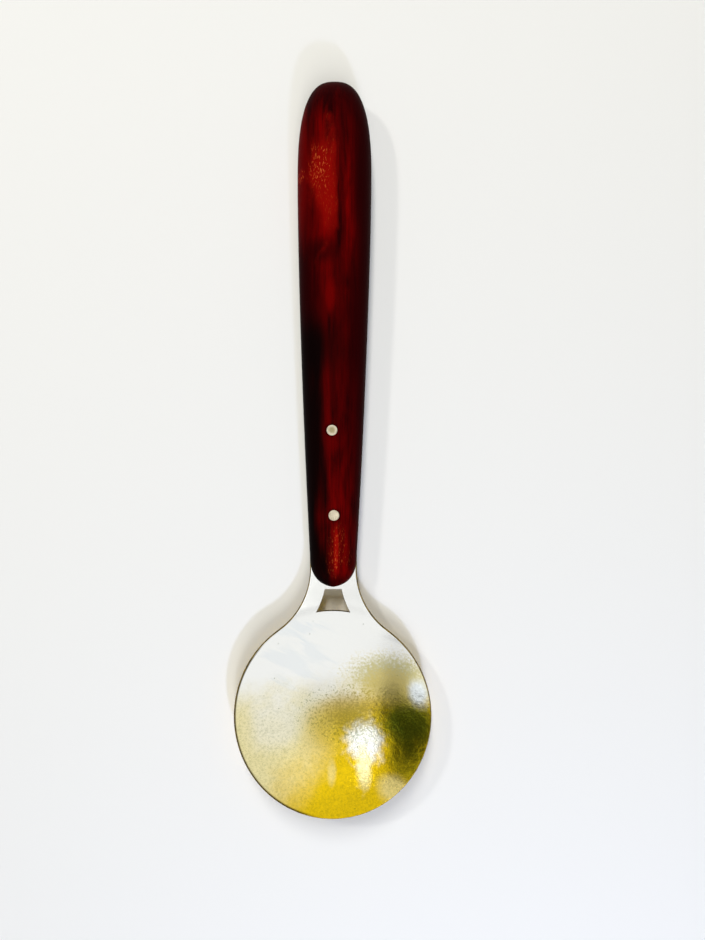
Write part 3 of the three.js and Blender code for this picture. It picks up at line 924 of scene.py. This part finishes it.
def add_sky(scene):
    """Soft light from above and in front, and a white room with dark and bright patches for gloss."""
    world = bpy.data.worlds.new("Soft studio")
    world.use_nodes = True
    tree = world.node_tree
    tree.nodes.clear()
    way = add(tree, "TexCoord").node.outputs["Generated"]

    # Level from low to high inside a soft patch round a direction, with its two radii in degrees
    def patch_level(ways, towards, outer, inner, low, high):
        towards = np.array(towards) / np.linalg.norm(towards)
        near = add(tree, "VectorMath", {0: ways, 1: towards}, operation="DOT_PRODUCT")
        gone, full = math.cos(math.radians(outer)), math.cos(math.radians(inner))
        return add(tree, "MapRange",
                   {"Value": near, "From Min": gone, "From Max": full, "To Min": low, "To Max": high},
                   interpolation_type="SMOOTHSTEP")

    # Patches that gloss shows: direction, outer and inner radius, and level
    patches = (
        ((-0.54, -0.27, 0.80), 16, 7, 0.24),
        ((-0.80, -0.04, 0.60), 21, 10, 0.15),
        ((-0.78, 0.27, 0.56), 16, 7, 0.35),
        ((-0.53, -0.58, 0.62), 12, 5, 0.65),
        ((0.02, -0.30, 0.95), 9, 3, 0.8),
        ((-0.76, -0.43, 0.49), 9, 4, 1.4),
        ((0.15, 0.50, 0.85), 32, 12, 1.2),
        ((-0.03, 0.53, 0.85), 7, 2, 1.2),
    )
    shown = 1.0
    for towards, outer, inner, gain in patches:
        share = patch_level(way, towards, outer, inner, 1.0, gain)
        shown = add(tree, "Math", {0: shown, 1: share}, operation="MULTIPLY")

    # The camera sees plain white behind the floor
    camera = add(tree, "LightPath").node.outputs["Is Camera Ray"]
    shown = add(tree, "Mix", {0: camera, 2: shown, 3: 1.0}, data_type="FLOAT")

    # Soft light that is long along the spoon and narrow across it, with the camera's shade in it
    drawn = add(tree, "VectorMath", {0: way, 1: (3, 1, 1)}, operation="MULTIPLY")
    drawn = add(tree, "VectorMath", {0: drawn}, operation="NORMALIZE")
    above = patch_level(drawn, (0, 0, 1), 45, 18, 0.1, 2.2)
    camera_shade = patch_level(way, (0, 0, 1), 26, 12, 1.0, 0.1)
    front = patch_level(drawn, (0, -0.6, 0.8), 28, 8, 0.0, 1.3)
    soft = add(tree, "Math", {0: above, 1: camera_shade, 2: front}, operation="MULTIPLY_ADD")

    seen = seen_rays(tree)
    tint = add(tree, "Mix", {0: seen, 6: linear("#fffdf4"), 7: linear("#ffffff")}, data_type="RGBA")
    level = add(tree, "Mix", {0: seen, 2: soft, 3: shown}, data_type="FLOAT")
    back = add(tree, "Background", {"Color": tint, "Strength": level})
    add(tree, "OutputWorld", {"Surface": back})
    scene.world = world


def add_camera(scene, settings):
    """A camera that looks straight down on the spoon."""
    data = bpy.data.cameras.new("camera")
    data.sensor_fit = "VERTICAL"
    data.sensor_height = SENSOR_HEIGHT
    data.lens = SENSOR_HEIGHT * settings.focal_pixels / PICTURE_HEIGHT
    data.clip_start = 0.01
    camera = bpy.data.objects.new("camera", data)
    camera.location = (settings.camera_x, settings.camera_y, settings.camera_height)
    camera.rotation_euler = (0, 0, settings.camera_roll)
    scene.collection.objects.link(camera)
    scene.camera = camera


# Operators

class SPOON_OT_handle(bpy.types.Operator):
    """Builds the wooden handle."""

    bl_idname = "spoon.handle"
    bl_label = "Wooden handle"

    def execute(self, context):
        settings = context.scene.spoon
        shape = HandleShape(settings.handle, settings.blade)
        points, faces = handle_mesh(shape)
        piece = add_piece("wooden_handle", points, faces, "handle", "handle_wood", red_hardwood(shape))
        round_edges(piece, settings.handle.edge, segments=2, angle=math.radians(50))
        return {"FINISHED"}


class SPOON_OT_blade(bpy.types.Operator):
    """Builds the bowl, neck and tang from one sheet."""

    bl_idname = "spoon.blade"
    bl_label = "Bowl, neck and tang"

    def execute(self, context):
        settings = context.scene.spoon
        blade = settings.blade
        handle = HandleShape(settings.handle, blade)
        shape = BladeShape(blade, handle)
        points, faces, finish = blade_mesh(shape, BladeShape(blade, handle, blade.edge, blade.window_edge))
        edge = dull_brass("Brass edge, filed and dull", (blade.cut, blade.under),
                          size=1.1, low=0.3, high=1.0)
        under = dull_brass("Brass underside, pressed and dull", (blade.under, blade.brass),
                           size=6, low=0.05, high=0.5)
        piece = add_piece("bowl_and_tang", points, faces, "spoon_blade", "blade_metal",
                          plated_brass(shape), edge, under)
        piece.data.polygons.foreach_set("material_index", finish)
        return {"FINISHED"}


class SPOON_OT_rivets(bpy.types.Operator):
    """Builds the two rivets."""

    bl_idname = "spoon.rivets"
    bl_label = "Rivets"

    def execute(self, context):
        settings = context.scene.spoon.rivets
        metal = rivet_metal(settings)
        for node in ("front_rivet", "rear_rivet"):
            points, faces = rivet_mesh(node, settings)
            add_piece(node + "_pin", points, faces, node, "rivet_metal", metal)
        return {"FINISHED"}


class SPOON_OT_stage(bpy.types.Operator):
    """Sets out the floor, the lamps and the camera."""

    bl_idname = "spoon.stage"
    bl_label = "Floor, lamps and camera"

    def execute(self, context):
        settings = context.scene.spoon.stage
        context.scene.view_settings.view_transform = "Standard"
        add_floor(settings)
        add_lamps()
        add_sky(context.scene)
        add_camera(context.scene, settings)
        return {"FINISHED"}


# Panel and registration

class SPOON_PT_panel(bpy.types.Panel):
    """Lists the settings and the steps that build the spoon."""

    bl_idname = "SPOON_PT_panel"
    bl_label = "Coffee spoon"
    bl_space_type = "VIEW_3D"
    bl_region_type = "UI"
    bl_category = "Spoon"

    def draw(self, context):
        settings = context.scene.spoon
        for part, operator in STEPS:
            box = self.layout.box()
            group = getattr(settings, part)
            for name in group.bl_rna.properties.keys():
                if name not in ("rna_type", "name"):
                    box.prop(group, name)
            box.operator(operator.bl_idname)


STEPS = (
    ("handle", SPOON_OT_handle),
    ("blade", SPOON_OT_blade),
    ("rivets", SPOON_OT_rivets),
    ("stage", SPOON_OT_stage),
)
CLASSES = (
    BladeSettings, HandleSettings, RivetSettings, StageSettings, SpoonSettings,
    *(operator for _, operator in STEPS), SPOON_PT_panel,
)


def register():
    for item in CLASSES:
        bpy.utils.register_class(item)
    bpy.types.Scene.spoon = bpy.props.PointerProperty(type=SpoonSettings)


def unregister():
    del bpy.types.Scene.spoon
    for item in reversed(CLASSES):
        bpy.utils.unregister_class(item)


def main():
    register()
    bpy.ops.spoon.handle()
    bpy.ops.spoon.blade()
    bpy.ops.spoon.rivets()
    bpy.ops.spoon.stage()


if __name__ == "__main__":
    main()
